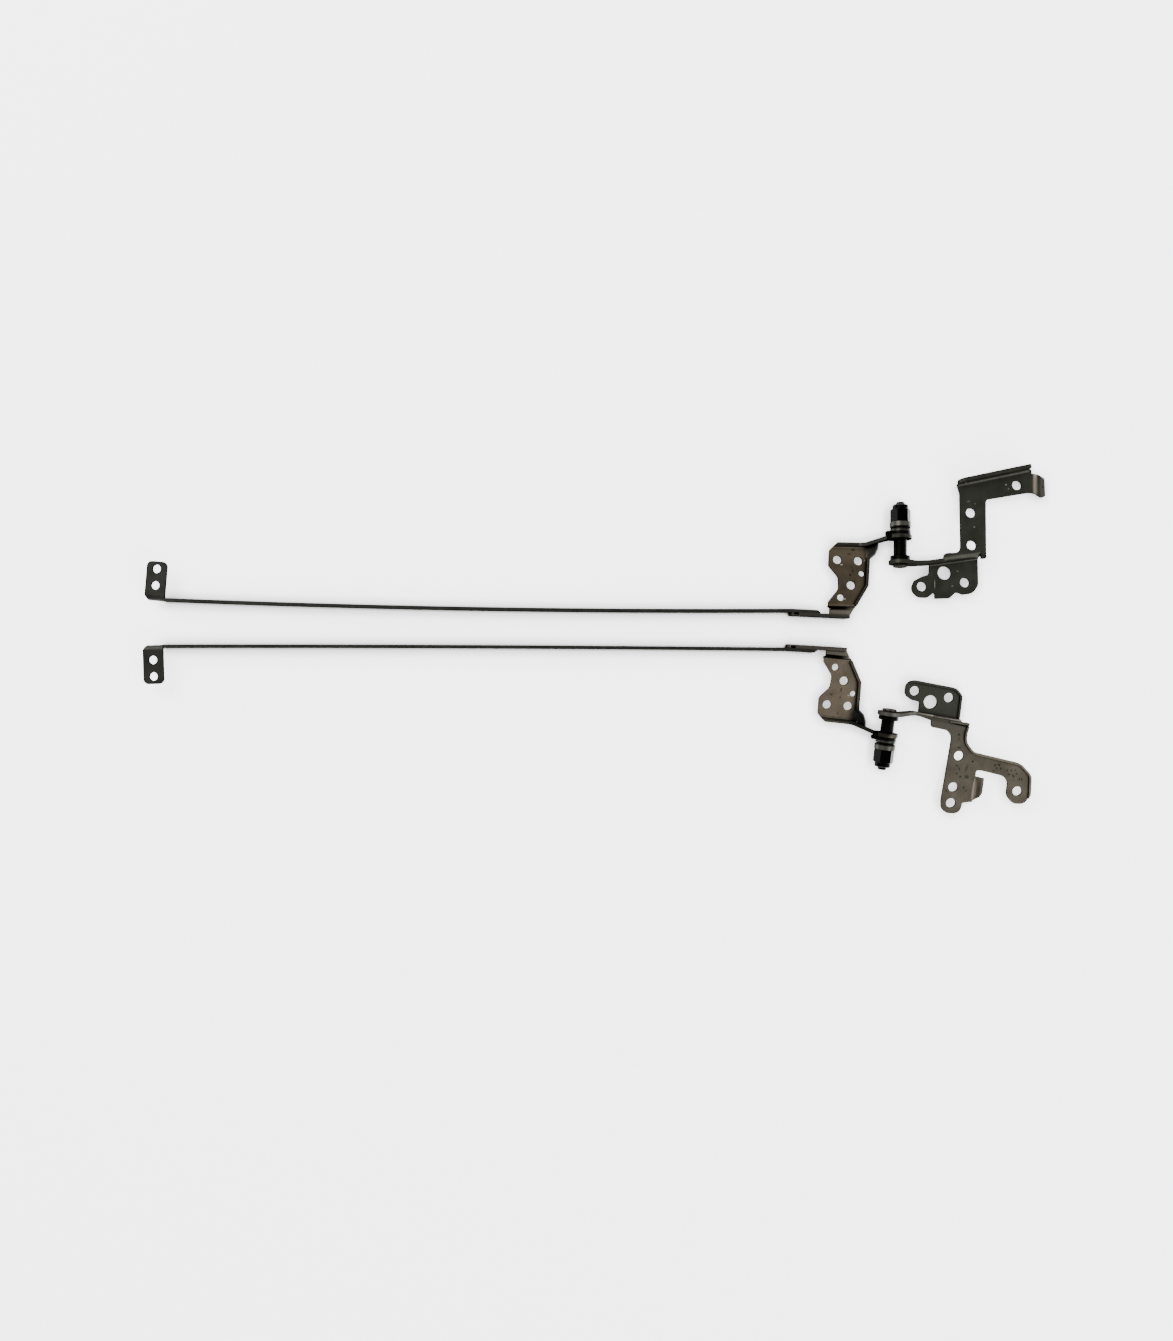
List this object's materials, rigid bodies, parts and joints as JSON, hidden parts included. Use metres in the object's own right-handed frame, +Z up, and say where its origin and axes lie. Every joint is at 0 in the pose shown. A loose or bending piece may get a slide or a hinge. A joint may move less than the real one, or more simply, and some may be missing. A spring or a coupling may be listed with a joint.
{
  "type": "laptop hinge pair",
  "caption": "Left and right friction hinges of a notebook lid: stamped screw brackets joined by a riveted pin with washers and lock nut, with long thin rails for the sides of the lid",
  "frame": {"origin": "Centre of the bounding box in plan, on the table the pair lies on.", "axes": "+X runs along the rails from the screw tabs to the base brackets, +Y to the upper hinge of the picture, +Z up from the table."},
  "size_m": [0.2552, 0.0986, 0.0075],
  "materials": {
    "bronze_steel": "plated steel with a warm grey to bronze sheen, light handling marks",
    "grey_steel": "plated steel, dark grey green, matte",
    "mixed_steel": "plated steel, grey at the pin and bronze on the arm",
    "dark_steel": "plated steel strip, dark grey, matte",
    "black_steel": "blackened and oiled steel",
    "washer_steel": "hardened steel, grey",
    "spring_steel": "spring steel, dark"
  },
  "bodies": {
    "lid_side": {"lid_bracket_upper": "bronze_steel", "lid_rail_upper": "dark_steel", "rail_rivets_upper": "dark_steel", "stop_washer_upper": "washer_steel", "lid_bracket_lower": "bronze_steel", "lid_rail_lower": "dark_steel", "rail_rivets_lower": "dark_steel", "stop_washer_lower": "washer_steel"},
    "base_upper": {"base_bracket_upper": "grey_steel", "hinge_shaft_upper": "black_steel", "friction_washer_upper": "washer_steel", "disc_spring_inner_upper": "spring_steel", "disc_spring_outer_upper": "spring_steel", "pressure_washer_upper": "washer_steel", "lock_nut_upper": "black_steel"},
    "base_lower": {"base_bracket_lower": "mixed_steel", "hinge_shaft_lower": "black_steel", "friction_washer_lower": "washer_steel", "disc_spring_inner_lower": "spring_steel", "disc_spring_outer_lower": "spring_steel", "pressure_washer_lower": "washer_steel", "lock_nut_lower": "black_steel"}
  },
  "joints": [
    {"name": "hinge_upper", "type": "hinge", "parent": "lid_side", "child": "base_upper", "pos_m": [0.08596, 0.02928, 0.0036], "axis": [-0.0261, -0.9959, 0.0872], "range_deg": [0, 178]},
    {"name": "hinge_lower", "type": "hinge", "parent": "lid_side", "child": "base_lower", "pos_m": [0.08197, -0.02733, 0.0036], "axis": [-0.1076, -0.9904, -0.0872], "range_deg": [0, 178]}
  ]
}
